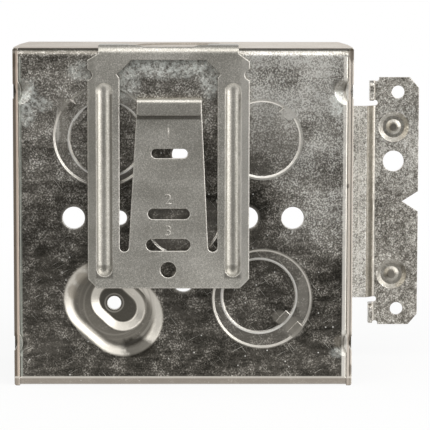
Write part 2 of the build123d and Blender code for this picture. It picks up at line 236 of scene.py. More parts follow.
def zincWeave(tree, place, turned, look):
    # how pale the coating is before any wear, its broad clouds, and pale patches that are partly a painted
    # sheen
    clumps = speckle(tree, turned, look["clumpMm"], *look["clumpCut"], detail=5.0, ragged=0.72)
    grains = speckle(tree, turned, look["grainMm"], *look["grainCut"])
    cloud = speckle(tree, turned, look["cloudMm"], *zincGrowth["cloudCut"], detail=3.0)
    rolled = addNode(tree, "ShaderNodeMapping", None, {
        "Vector": place, "Scale": look["streakRun"], "Location": zincGrowth["rolled"]})
    streaks = speckle(tree, rolled, look["streakMm"], *zincGrowth["streakCut"], detail=3.0, ragged=0.6)
    textured = addNode(tree, "ShaderNodeMath", multiplyAdd, {
        0: grains, 1: look["grainShare"], 2: look["base"]})
    weave = addNode(tree, "ShaderNodeMath", multiply, {0: clumps, 1: textured})
    shares = ((grains, look["grainAll"]), (cloud, look["cloudShare"]), (streaks, look["streakShare"]))
    for pattern, share in shares:
        weave = addNode(tree, "ShaderNodeMath", multiplyAdd, {0: pattern, 1: share, 2: weave})
    if "paleAndLitSpots" in look:
        # the paler the patch, the more its grain stands out
        spots = ovals(tree, place, look["paleAndLitSpots"])
        rise, least = zincGrowth["paleGrain"]
        grown = addNode(tree, "ShaderNodeMath", multiplyAdd, {0: grains, 1: rise, 2: least})
        weave = addNode(tree, "ShaderNodeMath", multiplyAdd, {0: spots, 1: grown, 2: weave})
    if "darkSpots" in look:
        spots = ovals(tree, place, look["darkSpots"])
        weave = addNode(tree, "ShaderNodeMath", {"operation": "SUBTRACT"}, {0: weave, 1: spots})
    return weave, cloud


def rampColour(tree, weave, ramp):
    colour = addNode(tree, "ShaderNodeValToRGB", None, {"Fac": weave})
    stops = colour.node.color_ramp.elements
    while len(stops) < len(ramp):
        stops.new(0.5)
    for stop, (at, hexColour) in zip(stops, ramp):
        stop.position = at
        stop.color = toLinear(hexColour)
    return colour


def crystalGlints(tree, place, look, colour):
    # painted glints of single crystals that face the light
    rim, heart = zincGrowth["crystal"]
    cells = addNode(tree, "ShaderNodeTexVoronoi", None, {
        "Vector": place, "Scale": 1 / (look["sparkleMm"] * mm)})
    near = addNode(tree, "ShaderNodeMapRange", None, {"Value": cells, "From Min": rim, "From Max": heart})
    chosen = addNode(tree, "ShaderNodeSeparateColor", None, {"Color": cells.node.outputs["Color"]})
    few = addNode(tree, "ShaderNodeMath", greater, {0: chosen, 1: look["sparkleRare"]})
    spark = addNode(tree, "ShaderNodeMath", multiply, {0: near, 1: few})
    return addNode(tree, "ShaderNodeMix", colourMix, {0: spark, 6: colour, 7: look["sparkle"]}, 2)


def stretchedZincAndShade(tree, place, spots, colour):
    # The press has stretched the sheet here: smooth zinc, with painted light and shade on its slopes and on
    # the flats between.
    # Each spot is an oval, the depth in mm where it starts, the flats' and the slopes' colours, and a share.
    sizes = zincStretch
    depth = addNode(tree, "ShaderNodeSeparateXYZ", None, {"Vector": place}, "Y")
    normal = addNode(tree, "ShaderNodeNewGeometry", output="Normal")
    facing = addNode(tree, "ShaderNodeSeparateXYZ", None, {"Vector": normal}, "Y")
    inner = addNode(tree, "ShaderNodeMath", greater, {0: facing, 1: 0.0})
    depth = addNode(tree, "ShaderNodeMath", multiplyAdd, {0: inner, 1: -sizes["innerMm"] * mm, 2: depth})
    facing = addNode(tree, "ShaderNodeMath", absolute, {0: facing})
    sloped = addNode(tree, "ShaderNodeMapRange", smoothStep, {
        "Value": facing, "From Min": sizes["slope"][0], "From Max": sizes["slope"][1]})
    for oval, deepMm, flatColour, slopeColour, share in spots:
        drawn = ovals(tree, place, [oval], sizes["frayMm"], sizes["soft"])
        sunk = addNode(tree, "ShaderNodeMapRange", None, {
            "Value": depth, "From Min": deepMm * mm, "From Max": (deepMm + sizes["fadeMm"]) * mm,
            "To Max": share})
        drawn = addNode(tree, "ShaderNodeMath", multiply, {0: drawn, 1: sunk})
        smooth = addNode(tree, "ShaderNodeMix", colourMix, {0: sloped, 6: flatColour, 7: slopeColour}, 2)
        colour = addNode(tree, "ShaderNodeMix", colourMix, {0: drawn, 6: colour, 7: smooth}, 2)
    return colour


def pressedMarks(tree, place, marks, colour):
    # What the press leaves on the back, with painted highlights: slopes round the knockouts, burnished by the
    # press and brightened by a painted highlight, smoother rings between two discs, painted highlights on the
    # rims and on the seat's ridges, and pale collars round the screw holes.
    axes = addNode(tree, "ShaderNodeSeparateXYZ", None, {"Vector": place}).node.outputs
    geometry = addNode(tree, "ShaderNodeNewGeometry", output="Normal")
    normal = addNode(tree, "ShaderNodeSeparateXYZ", None, {"Vector": geometry}).node.outputs
    facing = addNode(tree, "ShaderNodeMath", absolute, {0: normal["Y"]})
    height = addNode(tree, "ShaderNodeMath", absolute, {0: axes["Z"]})
    flat = addNode(tree, "ShaderNodeMath", greater, {0: facing, 1: marks["flatFrom"]})
    inner = addNode(tree, "ShaderNodeMath", {"operation": "LESS_THAN"}, {
        0: height, 1: marks["foldFrom"] * mm})

    low, high = marks["step"]
    step = faceBand(tree, axes["Y"], low * mm, high * mm, marks["stepFade"] * mm)
    ring = addNode(tree, "ShaderNodeMath", multiply, {0: step, 1: flat})
    ring = addNode(tree, "ShaderNodeMath", multiply, {0: ring, 1: marks["ringShare"]})
    colour = addNode(tree, "ShaderNodeMix", colourMix, {0: ring, 6: colour, 7: marks["ring"]}, 2)

    slope = faceBand(tree, facing, *marks["slopeFacing"])
    low, high = marks["slopeDepth"]
    shallow = faceBand(tree, axes["Y"], low * mm, high * mm, marks["slopeFade"] * mm)
    slope = addNode(tree, "ShaderNodeMath", multiply, {0: slope, 1: shallow})
    slope = addNode(tree, "ShaderNodeMath", multiply, {0: slope, 1: inner})
    colour = addNode(tree, "ShaderNodeMix", colourMix, {0: slope, 6: colour, 7: marks["slope"]}, 2)

    # painted highlights along the knockouts' rims and the seat's ridges
    for x, z, radius, halfMm, hexColour, share in marks["rimHighlights"]:
        line = faceBand(tree, reachFrom(tree, place, x, z),
                        (radius - halfMm) * mm, (radius + halfMm) * mm, marks["rimFade"] * mm)
        line = addNode(tree, "ShaderNodeMath", multiply, {0: line, 1: share})
        colour = addNode(tree, "ShaderNodeMix", colourMix, {0: line, 6: colour, 7: hexColour}, 2)

    collars = None
    for x, z, radius in marks["holes"]:
        collar = addNode(tree, "ShaderNodeMapRange", smoothStep, {
            "Value": reachFrom(tree, place, x, z), "From Min": (radius + marks["collarMm"]) * mm,
            "From Max": radius * mm, "To Max": marks["collarShare"]})
        collars = collar if collars is None else addNode(
            tree, "ShaderNodeMath", maximum, {0: collars, 1: collar})
    return addNode(tree, "ShaderNodeMix", colourMix, {0: collars, 6: colour, 7: marks["collar"]}, 2)


def whiteBloom(tree, place, turned, look, colour, rough):
    # ragged bluish-white bloom where the zinc has weathered
    sizes = zincBloom
    spots = ovals(tree, place, look["bloomSpots"], sizes["frayMm"], sizes["soft"])
    ragged = speckle(tree, turned, sizes["raggedMm"], *sizes["raggedCut"], detail=5.0, ragged=0.78)
    ragged = addNode(tree, "ShaderNodeMath", multiplyAdd, {
        0: ragged, 1: sizes["lift"][0], 2: sizes["lift"][1]})
    bloom = addNode(tree, "ShaderNodeMath", multiply, {0: spots, 1: ragged})
    colour = addNode(tree, "ShaderNodeMix", colourMix, {0: bloom, 6: colour, 7: look["bloom"]}, 2)
    rough = addNode(tree, "ShaderNodeMath", multiplyAdd, {0: bloom, 1: sizes["rough"], 2: rough})
    return colour, rough


def workedAndShadedBands(tree, place, bands, colour, rough):
    # where the shear or the press has changed the coating, with painted light and shade on the folds, the top
    # wall, the joggle, the grooves and the lip; each band lies within spans in mm
    axes = addNode(tree, "ShaderNodeSeparateXYZ", None, {"Vector": place}).node.outputs
    for band in bands:
        mask = band["share"]
        for axis, (low, high) in band["spans"].items():
            within = faceBand(tree, axes[axis], low * mm, high * mm, band.get("fade", 0.1) * mm)
            mask = addNode(tree, "ShaderNodeMath", multiply, {0: within, 1: mask})
        colour = addNode(tree, "ShaderNodeMix", colourMix, {0: mask, 6: colour, 7: band["colour"]}, 2)
        if "rough" in band:
            rough = addNode(tree, "ShaderNodeMix", None, {"Factor": mask, 2: rough, 3: band["rough"]})
    return colour, rough


def wornAndLitEdges(tree, look, colour):
    # handling has rubbed the edges, and light and shade are painted on them: a painted highlight where they
    # turn up or right, and painted shade where they turn down
    sizes = wornAndLitEdge
    rounded = addNode(tree, "ShaderNodeBevel", {"samples": sizes["samples"]}, {"Radius": look["edgeMm"] * mm})
    plain = addNode(tree, "ShaderNodeNewGeometry", output="Normal")
    facing = addNode(tree, "ShaderNodeVectorMath", dot, {0: rounded, 1: plain}, "Value")
    near = addNode(tree, "ShaderNodeMapRange", None, {
        "Value": facing, "From Min": sizes["sharp"][0], "From Max": sizes["sharp"][1]})
    upward = addNode(tree, "ShaderNodeVectorMath", dot, {0: rounded, 1: sizes["lightFrom"]}, "Value")
    lit = addNode(tree, "ShaderNodeMapRange", None, {
        "Value": upward, "From Min": sizes["lightFade"][0], "From Max": sizes["lightFade"][1]})
    edgeWearAndLight = addNode(tree, "ShaderNodeMath", multiply, {0: near, 1: look["edgeShare"]})
    edge = addNode(tree, "ShaderNodeMix", colourMix, {0: lit, 6: look["edgeShade"], 7: look["edge"]}, 2)
    return addNode(tree, "ShaderNodeMix", colourMix, {0: edgeWearAndLight, 6: colour, 7: edge}, 2)


def tintsAndShade(tree, place, tints, colour):
    # soft ovals of a colour on the side of the back, many of them painted light and shade; they don't run on
    # along the walls
    sizes = zincTint
    depth = addNode(tree, "ShaderNodeSeparateXYZ", None, {"Vector": place}, "Y")
    low, high = sizes["depthMm"]
    shallow = faceBand(tree, depth, low * mm, high * mm, sizes["fadeMm"] * mm)
    for hexColour, share, spots in tints:
        tint = ovals(tree, place, spots, sizes["frayMm"], sizes["soft"])
        tint = addNode(tree, "ShaderNodeMath", multiply, {0: tint, 1: share})
        tint = addNode(tree, "ShaderNodeMath", multiply, {0: tint, 1: shallow})
        colour = addNode(tree, "ShaderNodeMix", colourMix, {0: tint, 6: colour, 7: hexColour}, 2)
    return colour


def zincSheet(name, look):
    # zinc on steel: the coating's own weave first, then in turn whatever the sheet has been through, with
    # painted light and shade among those marks
    material, tree = newMaterial(name)
    place = addNode(tree, "ShaderNodeTexCoord", output="Object")
    turned = addNode(tree, "ShaderNodeMapping", None, {"Vector": place, **zincGrowth["turned"]})
    weave, cloud = zincWeave(tree, place, turned, look)
    colour = rampColour(tree, weave, look["ramp"])
    rough = addNode(tree, "ShaderNodeMapRange", None, {
        "Value": cloud, "To Min": look["rough"][0], "To Max": look["rough"][1]})

    if "sparkle" in look:
        colour = crystalGlints(tree, place, look, colour)
    for turn, rare in look.get("scratchRuns", []):
        lines = scratches(tree, place, *look["scratchMm"], turn, rare)
        colour = addNode(tree, "ShaderNodeMix", colourMix, {0: lines, 6: colour, 7: look["scratch"]}, 2)
    if "stretchedAndShaded" in look:
        colour = stretchedZincAndShade(tree, place, look["stretchedAndShaded"], colour)
    if "pressed" in look:
        colour = pressedMarks(tree, place, look["pressed"], colour)
    if "bloom" in look:
        colour, rough = whiteBloom(tree, place, turned, look, colour, rough)
    if "bands" in look:
        colour, rough = workedAndShadedBands(tree, place, look["bands"], colour, rough)
    colour = wornAndLitEdges(tree, look, colour)
    if "tints" in look:
        colour = tintsAndShade(tree, place, look["tints"], colour)

    rounded = addNode(tree, "ShaderNodeBevel", {"samples": wornAndLitEdge["samples"]}, {
        "Radius": look["roundMm"] * mm})
    bump = addNode(tree, "ShaderNodeBump", None, {
        "Height": weave, "Strength": look["bump"], "Distance": look["bumpMm"] * mm, "Normal": rounded})
    steel = addNode(tree, "ShaderNodeBsdfPrincipled", None, {
        "Base Color": colour, "Metallic": 1.0, "Roughness": rough, "Normal": bump})
    addNode(tree, "ShaderNodeOutputMaterial", None, {"Surface": steel})
    return material


# The box: spangled galvanised sheet. The eye sees charcoal mirror zinc broken by ragged pale clumps and fine
# grains, sparse bright crystals, a pale upper right, whitish bloom, and bright pressed slopes.

plateEdge = {"Y": (-1, 0.3)}           # where a side plate's sheared edge shows beside the back
backFace = {"Y": (-1, 1)}
backRun = {"Z": (-48.2, 48.2), **backFace}
boxLook = {
    "ramp": [(0, "33312c"), (0.25, "625e57"), (0.5, "9a958c"), (0.75, "d2cdc4"), (1.0, "fffdf6")],
    "clumpMm": 4.5, "clumpCut": (0.42, 0.62),
    "grainMm": 0.46, "grainCut": (0.44, 0.72), "grainShare": 0.46, "grainAll": 0.16, "base": 0.1,
    "cloudMm": 16, "cloudShare": 0.08,
    "streakMm": 1.3, "streakRun": (0.16, 1, 1), "streakShare": 0.16,
    # pale patches of the coating, with a painted sheen over the upper right
    "paleAndLitSpots": [
        (33, 43, 24, 18, 0.86), (40, 14, 15, 24, 0.6), (-5, 38, 26, 12, 0.36), (0, 50, 52, 3.5, 0.3),
        (-36, 24, 20, 18, 0.26), (-32, 40, 17, 9, 0.34), (-40, 8, 12, 14, 0.16), (23.6, 28, 12, 11, 0.58),
        (42, 43, 10, 8, 0.4), (24, 33, 8, 3, 0.4), (45, 25, 5, 10, 0.25), (38, -6, 12, 4, 0.12)],
    "darkSpots": [
        (-5, -45, 22, 8, 0.06), (-40, 45, 9, 3, 0.08), (29, 42, 8, 4, 0.22), (22, 16, 9, 3.5, 0.16),
        (37, 30, 2.5, 6, 0.14), (44, 13, 4, 5, 0.12), (18, 4, 14, 6, 0.16), (34, 8, 4, 5, 0.08),
        (46.5, 42, 2, 3, 0.2), (44, -24, 9, 14, 0.08)],
    "rough": (0.32, 0.42),
    # painted glints of single spangle crystals
    "sparkle": "fffdf7", "sparkleMm": 1.1, "sparkleRare": 0.965,
    "scratch": "e6e2d8", "scratchMm": (9, 0.16), "scratchRuns": [(0.5, 0.71), (-0.9, 0.71)],
    "stretchedAndShaded": [
        # the ground seat, and its landing, with painted light on their slopes and painted shade on their
        # flats
        ((-21, -27.5, 19, 19, 1.0), 0.03, "8a857b", "cdc8be", 0.82),
        ((-20.5, -26.5, 9, 9, 1.0), 2.6, "4a4740", "b8b3a9", 0.65)],
    "pressed": {
        "flatFrom": 0.97,              # cosine above which a face counts as flat
        "foldFrom": 47.5,              # mm, beyond which a slope is the sheet's own fold
        "step": (0.37, 0.53), "stepFade": 0.04,          # mm, the depth of the rings between two discs
        "ring": "a8a39a", "ringShare": 0.25,
        "slopeFacing": (0.2, 0.75, 0.03),                # cosines, and their fade
        # a painted highlight on the knockouts' slopes, over zinc that the press has burnished
        "slopeDepth": (-1, 0.945), "slopeFade": 0.02, "slope": "fffcf5",
        # x, z and radius of the screw holes
        "holes": [(32.8, 0, 3.35), (-32.8, 0, 3.35), (19.05, 0, 3.35), (-19.05, 0, 2.2), (0, 19.05, 3.35),
                  (0, -19.05, 3.35)],
        "collarMm": 1.0, "collarShare": 0.5, "collar": "b7b2a8",
        # x, z, radius, half width, colour and share of the painted highlights on the knockouts' rims and on
        # the seat's ridges
        "rimFade": 0.15,
        "rimHighlights": [(-23.9, 24.4, 14.7, 0.4, "b5b0a6", 0.6), (-23.0, 23.6, 11.2, 0.3, "fffcf5", 0.85),
                 (23.7, -24.4, 14.7, 0.4, "a8a399", 0.7), (22.8, -23.6, 11.2, 0.3, "fffcf5", 0.85),
                 (23.6, 23.6, 11.8, 0.35, "e9e5db", 0.75), (-20.8, -26.1, 2.75, 0.15, "b5b0a6", 0.7),
                 (-20.5, -26.2, 9.4, 0.2, "a09b91", 0.6), (-20.5, -26.2, 10.8, 0.15, "938e84", 0.5),
                 (-21.2, -27.0, 12.3, 0.3, "b5b0a6", 0.5)],
    },
    "bloom": "d2d5cf",
    "bloomSpots": [
        (-46.6, 36.5, 3.2, 4.6, 0.9), (-43, 34, 3.8, 2.2, 0.7), (-47, 31, 2.6, 3.6, 0.7),
        (-5, 45.5, 16, 3.5, 1.0), (-17, 41, 4, 6, 0.8), (8, 42, 3, 6, 0.9), (-30, 44, 4, 3, 0.6),
        (46, 35, 2.5, 5, 1.0), (46.4, -41, 2.0, 1.6, 0.45)],
    "bands": [
        # the right side plate's sheared edge and the dark line in it, then the left one's
        {"spans": {"X": (49.25, 51), **plateEdge}, "colour": "d3cabf", "share": 0.9, "rough": 0.65},
        {"spans": {"X": (50.1, 50.3), **plateEdge}, "colour": "4f4a42", "share": 0.8},
        {"spans": {"X": (-51, -49.25), **plateEdge}, "colour": "cdbdae", "share": 0.9, "rough": 0.6},
        {"spans": {"X": (-50.7, -49.95), **plateEdge}, "colour": "5a5248", "share": 0.85},
        # a painted highlight on the rolled shear of the back beside the right plate, and painted shade on the
        # left one
        {"spans": {"X": (47.9, 49.15), **backRun}, "colour": "f4f0e7", "share": 0.75, "fade": 0.3,
         "rough": 0.5},
        {"spans": {"X": (-49.15, -48.3), **backRun}, "colour": "a9aca3", "share": 0.7},
        # a painted reflection of the pale room on the top wall, painted shade on the top fold with a darker
        # painted line along it, then painted light on the bottom fold with a painted highlight along it
        {"spans": {"Z": (48.5, 52), "Y": (1.6, 60)}, "colour": "fff0dd", "share": 0.65},
        {"spans": {"Z": (49.3, 50.4), "Y": (-1, 1.6)}, "colour": "aaa499", "share": 0.4, "fade": 0.3},
        {"spans": {"Z": (50.0, 50.75), "Y": (-1, 1.6)}, "colour": "4a463c", "share": 0.7},
        {"spans": {"Z": (-52, -48.1), "Y": (-1, 4)}, "colour": "a69d92", "share": 0.75, "fade": 0.2},
        {"spans": {"Z": (-48.5, -48.1), **backFace}, "colour": "efeae0", "share": 0.5, "fade": 0.2},
    ],
    # rubbed edges, with a painted highlight where they turn up and painted shade where they turn down
    "edgeMm": 0.3, "edge": "f6f1e8", "edgeShade": "4a463d", "edgeShare": 0.8,
    "tints": [
        # painted shade on the ground seat's rims
        ("36332d", 0.85, [(-13.5, -39.3, 5, 3, 1.0)]),
        ("5c5850", 0.75, [(-15, -14.5, 5, 3, 1.0)]),
        ("8f887c", 0.75, [(-33.2, -22.6, 1.5, 2.4, 1.0), (-30.6, -18.4, 1.8, 2.0, 1.0)]),
        # painted light on one side of each ring between two discs, and the torn ties of the lower right pair
        ("b9b4aa", 0.4, [(36, -24, 1.8, 6, 1.0), (33, -33, 3, 3, 1.0), (-36, 30, 1.6, 8, 0.8)]),
        ("9b968c", 0.6, [(29.3, -30, 2.2, 1.8, 1.0), (33.4, -33.2, 2.3, 1.9, 1.0)]),
        # a smear beside the upper right disc, and one on the upper left ring
        ("f3efe6", 0.7, [(31.4, 31.2, 2.4, 1.5, 1.0), (-37.5, 27, 0.5, 5, 0.8)]),
        # nicks and brown corners of the side plates' sheared edges
        ("5e5448", 0.7, [
            (50.3, 49, 0.9, 2.4, 1.0), (50.4, 37.6, 0.6, 1.8, 1.0), (49.3, 9.6, 0.4, 0.7, 1.0),
            (50.3, -37, 0.7, 2.0, 1.0), (50.4, -46, 0.5, 1.6, 0.8), (-50.4, 47, 0.6, 2.0, 0.9),
            (-50.4, 37.5, 0.6, 1.8, 1.0), (-50.4, -36.5, 0.6, 2.0, 1.0)]),
        # painted shade in the hollows of three stake marks
        ("6b655b", 0.75, [
            (46.6, 39.6, 2.6, 2.0, 1.0), (-47.5, 39.4, 2, 1.6, 0.7), (47.4, -37.2, 1.8, 1.8, 0.8)])],
    "roundMm": 0.25, "bump": 0.4, "bumpMm": 0.05,
}
boxZinc = zincSheet("spangled_zinc_sheet", boxLook)


# The stud bracket: zinc-coated sheet, finer than the box's. The eye sees a salt-and-pepper mottle, paler on
# the web, with a brownish shadow in the joggle and two smooth ringed dimples.

bracketDimples = [(67.1, 23.9), (66.8, -23.4)]
bracketLook = {
    "ramp": [(0, "57534b"), (0.3, "918c83"), (0.6, "cdc8be"), (1.0, "fffcf5")],
    "clumpMm": 1.3, "clumpCut": (0.42, 0.6),
    "grainMm": 0.4, "grainCut": (0.41, 0.62), "grainShare": 0.45, "grainAll": 0.26, "base": 0.2,
    "cloudMm": 12, "cloudShare": 0.15,
    "streakMm": 0.9, "streakRun": (0.8, 1, 0.35), "streakShare": 0.2,
    "paleAndLitSpots": [(66, 20, 16, 16, 0.25), (55.5, 0, 4, 70, 0.34)],
    "rough": (0.3, 0.42),
    "stretchedAndShaded": [
        # each dimple's ring, and its middle, with painted light and shade on their slopes and flats
        ((x, z, radius, radius, 1.0), 0, flatColour, slopeColour, 0.8) for x, z in bracketDimples
        for radius, flatColour, slopeColour in ((4.8, "8f8b82", "a19d94"), (1.5, "827d74", "6f6a61"))],
    "bands": [
        # painted shade and a painted highlight on the joggle's two sides, and a pale line down the web
        {"spans": {"X": (58.4, 60.3), "Z": (-31.5, 31.5)}, "colour": "7a7468", "share": 0.85},
        {"spans": {"X": (60.5, 61.3)}, "colour": "d5cfc4", "share": 0.75},
        {"spans": {"X": (55.8, 56.1)}, "colour": "fffaf0", "share": 0.5},
    ],
    # rubbed edges, with a painted highlight where they turn up and painted shade where they turn down
    "edgeMm": 0.25, "edge": "cbc2b7", "edgeShade": "7d6f62", "edgeShare": 0.8,
    "roundMm": 0.25, "bump": 0.6, "bumpMm": 0.04,
}
bracketZinc = zincSheet("mottled_zinc_sheet", bracketLook)


# The far-side support: a stamping with a fine matt zinc coating. The eye sees an even sandy grey, and two
# pressed grooves that are a little darker, shaded down their sides and at their feet.

supportGrooveShade = {
    "middles": (-23.55, 14.85),
    # painted shade in the groove, down its two sides and at its foot: reach to either side of the middle, run
    # up the leg in mm, colour, share and fade
    "marks": [
        (-2.35, 2.35, (-17.5, 40.6), "a8a49a", 0.4, 0.1),
        (-2.35, -1.95, (-14, 37), "5f5b52", 0.5, 0.3),
        (1.75, 2.25, (-14, 37), "4a463e", 0.65, 0.4),
        (-2.35, 2.35, (-17.8, -14.3), "6f6b62", 0.6, 0.5)],
}
supportLook = {
    "ramp": [(0, "a8a499"), (0.5, "cbc7bd"), (1.0, "f0ece3")],
    "clumpMm": 0.5, "clumpCut": (0.36, 0.66),
    "grainMm": 0.32, "grainCut": (0.36, 0.66), "grainShare": 0.6, "grainAll": 0.36, "base": 0.14,
    "cloudMm": 20, "cloudShare": 0.2,
    "streakMm": 5, "streakRun": (0.3, 1, 1), "streakShare": 0.2,
    "rough": (0.34, 0.4),
    "bands": [
        *[{"spans": {"X": (middle + low, middle + high), "Z": run},
           "colour": colour, "share": share, "fade": fade}
          for middle in supportGrooveShade["middles"]
          for low, high, run, colour, share, fade in supportGrooveShade["marks"]],
        # a painted shadow under the lip, and painted shade on the lip's face
        {"spans": {"Z": (29.8, 30.9), "X": (-13.8, 5), "Y": (-4.2, -2.1)},
         "colour": "5f5a50", "share": 0.7, "fade": 0.3},
        {"spans": {"Z": (31.1, 34.2), "X": (-13.8, 4.9), "Y": (-9, -4.3)}, "colour": "a7a298", "share": 0.2},
    ],
    # rubbed edges, with a painted highlight where they turn up and painted shade where they turn down
    "edgeMm": 0.4, "edge": "f4efe6", "edgeShade": "5a554b", "edgeShare": 0.75,
    # painted shade on the left leg's outer margin, and a painted highlight on the right leg's
    "tints": [("a19d93", 0.6, [(-27.4, 12, 1.6, 40, 1.0)]), ("e9e5dc", 0.6, [(18.2, 12, 1.6, 40, 1.0)])],
    "roundMm": 0.5, "bump": 0.3, "bumpMm": 0.02,
}
supportZinc = zincSheet("fine_matt_zinc_sheet", supportLook)


# The cover screws: steel with bright zinc plate. The eye sees a cool, smooth, near-mirror white metal.

screwLook = {
    "ramp": [(0, "b4b7ba"), (1.0, "e4e7e9")],
    "clumpMm": 0.9, "clumpCut": (0.4, 0.6),
    "grainMm": 0.4, "grainCut": (0.36, 0.66), "grainShare": 0.4, "grainAll": 0.24, "base": 0.2,
    "cloudMm": 4, "cloudShare": 0.2,
    "streakMm": 0.6, "streakRun": (1, 1, 1), "streakShare": 0.1,
    "rough": (0.18, 0.26),
    # rubbed edges, with a painted highlight where they turn up and painted shade where they turn down
    "edgeMm": 0.15, "edge": "f2f4f5", "edgeShade": "8c8f91", "edgeShare": 0.6,
    "roundMm": 0.06, "bump": 0.1, "bumpMm": 0.01,
}
screwZinc = zincSheet("bright_zinc_plate", screwLook)

dress("box_body", boxZinc)
dress("left_side_plate", boxZinc)
dress("right_side_plate", boxZinc)
dress("stud_bracket", bracketZinc)
dress("far_side_support", supportZinc)
print("metals dressed")


# Pieces made here

smoothUpTo = math.radians(35)          # edges sharper than this stay sharp


def latheMesh(name, profile, sides):
    # spins (radius, y) pairs in mm about the Y axis; a radius of 0 closes the form in a point
    form = bmesh.new()
    angles = [math.tau * i / sides for i in range(sides)]
    rings = []
    for radius, y in profile:
        spread = angles if radius else [0]
        ring = [(radius * math.cos(a) * mm, y * mm, radius * math.sin(a) * mm) for a in spread]
        rings.append([form.verts.new(corner) for corner in ring])
    for low, high in zip(rings, rings[1:]):
        for i in range(sides):
            j = (i + 1) % sides
            corners = [low[i % len(low)], low[j % len(low)], high[j % len(high)], high[i % len(high)]]
            form.faces.new(list(dict.fromkeys(corners)))
    bmesh.ops.recalc_face_normals(form, faces=form.faces)
    mesh = bpy.data.meshes.new(name)
    form.to_mesh(mesh)
    form.free()
    return mesh


def startTree(name, sizes):
    # a Geometry Nodes tree with one float input for each size; gives the inputs' identifiers too
    tree = bpy.data.node_groups.new(name, "GeometryNodeTree")
    tree.interface.new_socket("Geometry", in_out="INPUT", socket_type="NodeSocketGeometry")
    sockets = {}
    for size in sizes:
        socket = tree.interface.new_socket(size, in_out="INPUT", socket_type="NodeSocketFloat")
        sockets[size] = socket.identifier
    tree.interface.new_socket("Geometry", in_out="OUTPUT", socket_type="NodeSocketGeometry")
    return tree, sockets, addNode(tree, "NodeGroupInput").node.outputs


def finishTree(tree, geometry, material):
    whole = addNode(tree, "GeometryNodeRealizeInstances", None, {"Geometry": geometry})
    dressed = addNode(tree, "GeometryNodeSetMaterial", None, {"Geometry": whole, "Material": material})
    addNode(tree, "NodeGroupOutput", None, {"Geometry": dressed})


def settle(name, mesh, tree, sockets, sizes, cutters, place):
    # turns the mesh, its cuts and its nodes into one plain mesh, set in its place
    rough = bpy.data.objects.new(name + "_rough", mesh)
    bpy.context.scene.collection.objects.link(rough)
    for cutter in cutters:
        cut = rough.modifiers.new("recess", "BOOLEAN")
        cut.operation, cut.solver, cut.object = "DIFFERENCE", "EXACT", cutter
    nodes = rough.modifiers.new("nodes", "NODES")
    nodes.node_group = tree
    for size, value in sizes.items():
        nodes[sockets[size]] = value
    graph = bpy.context.evaluated_depsgraph_get()
    plain = bpy.data.meshes.new_from_object(rough.evaluated_get(graph))
    for spare in [rough, *cutters]:
        bpy.data.objects.remove(spare)
    plain.transform(place)
    plain.shade_smooth()
    plain.set_sharp_from_angle(angle=smoothUpTo)
    piece = bpy.data.objects.new(name, plain)
    bpy.context.scene.collection.objects.link(piece)
    return piece


# Cover screws: 8-32 pan heads, whose thread winds round the shank

coverScrew = {
    "core": 1.66, "threadMiddle": 1.64, "ridge": 0.4,     # mm; the crest stays inside the tapped hole
    "pitch": 0.794, "turns": 14.5, "threadFrom": 43.2,
    "tip": 42.6, "tipRadius": 1.3, "tipTaper": 0.5, "seat": 55.3,
    "head": [
        (3.85, 0), (3.95, 0.12), (3.93, 0.8), (3.75, 1.3), (3.3, 1.72), (2.4, 2.08), (1.2, 2.27), (0, 2.3)],
    "slot": (1.05, 9, 1.25), "cross": (4.6, 1.05, 1.7),   # width, length and depth of each cut in the head
    "cutterHeight": 2,
    "turned": {"upper": 20, "lower": 65},                 # degrees
    "reverse": True,                                      # which way the coil runs, for a right-hand thread
    "sides": 48, "coilPoints": 28, "ridgeCorners": 4,
}


def threadTree(material):
    look = coverScrew
    tree, sockets, given = startTree("screw_thread", ["Start", "Length", "Turns", "Radius", "Ridge"])
    coil = addNode(tree, "GeometryNodeCurveSpiral", None, {
        "Resolution": look["coilPoints"], "Rotations": given["Turns"], "Start Radius": given["Radius"],
        "End Radius": given["Radius"], "Height": given["Length"], "Reverse": look["reverse"]})
    coil = addNode(tree, "GeometryNodeSetCurveNormal", {"mode": "Z_UP"}, {"Curve": coil})
    ridge = addNode(tree, "GeometryNodeCurvePrimitiveCircle", None, {
        "Resolution": look["ridgeCorners"], "Radius": given["Ridge"]})
    thread = addNode(tree, "GeometryNodeCurveToMesh", None, {
        "Curve": coil, "Profile Curve": ridge, "Fill Caps": True})
    start = addNode(tree, "ShaderNodeCombineXYZ", None, {"Y": given["Start"]})
    thread = addNode(tree, "GeometryNodeTransform", None, {
        "Geometry": thread, "Translation": start, "Rotation": (-math.pi / 2, 0, 0)})
    joined = addNode(tree, "GeometryNodeJoinGeometry", None, {"Geometry": thread})
    tree.links.new(given["Geometry"], joined.node.inputs["Geometry"])
    finishTree(tree, joined, material)
    return tree, sockets


def headCut(name, wide, long, deep):
    # a block that reaches from above the head down to the cut's floor
    bpy.ops.mesh.primitive_cube_add(size=1)
    cutter = bpy.context.object
    cutter.name = name
    tall = coverScrew["cutterHeight"]
    top = coverScrew["seat"] + coverScrew["head"][-1][1]
    size = Matrix.Diagonal((wide * mm, tall * mm, long * mm, 1))
    cutter.data.transform(Matrix.Translation((0, (top - deep + tall / 2) * mm, 0)) @ size)
    return cutter


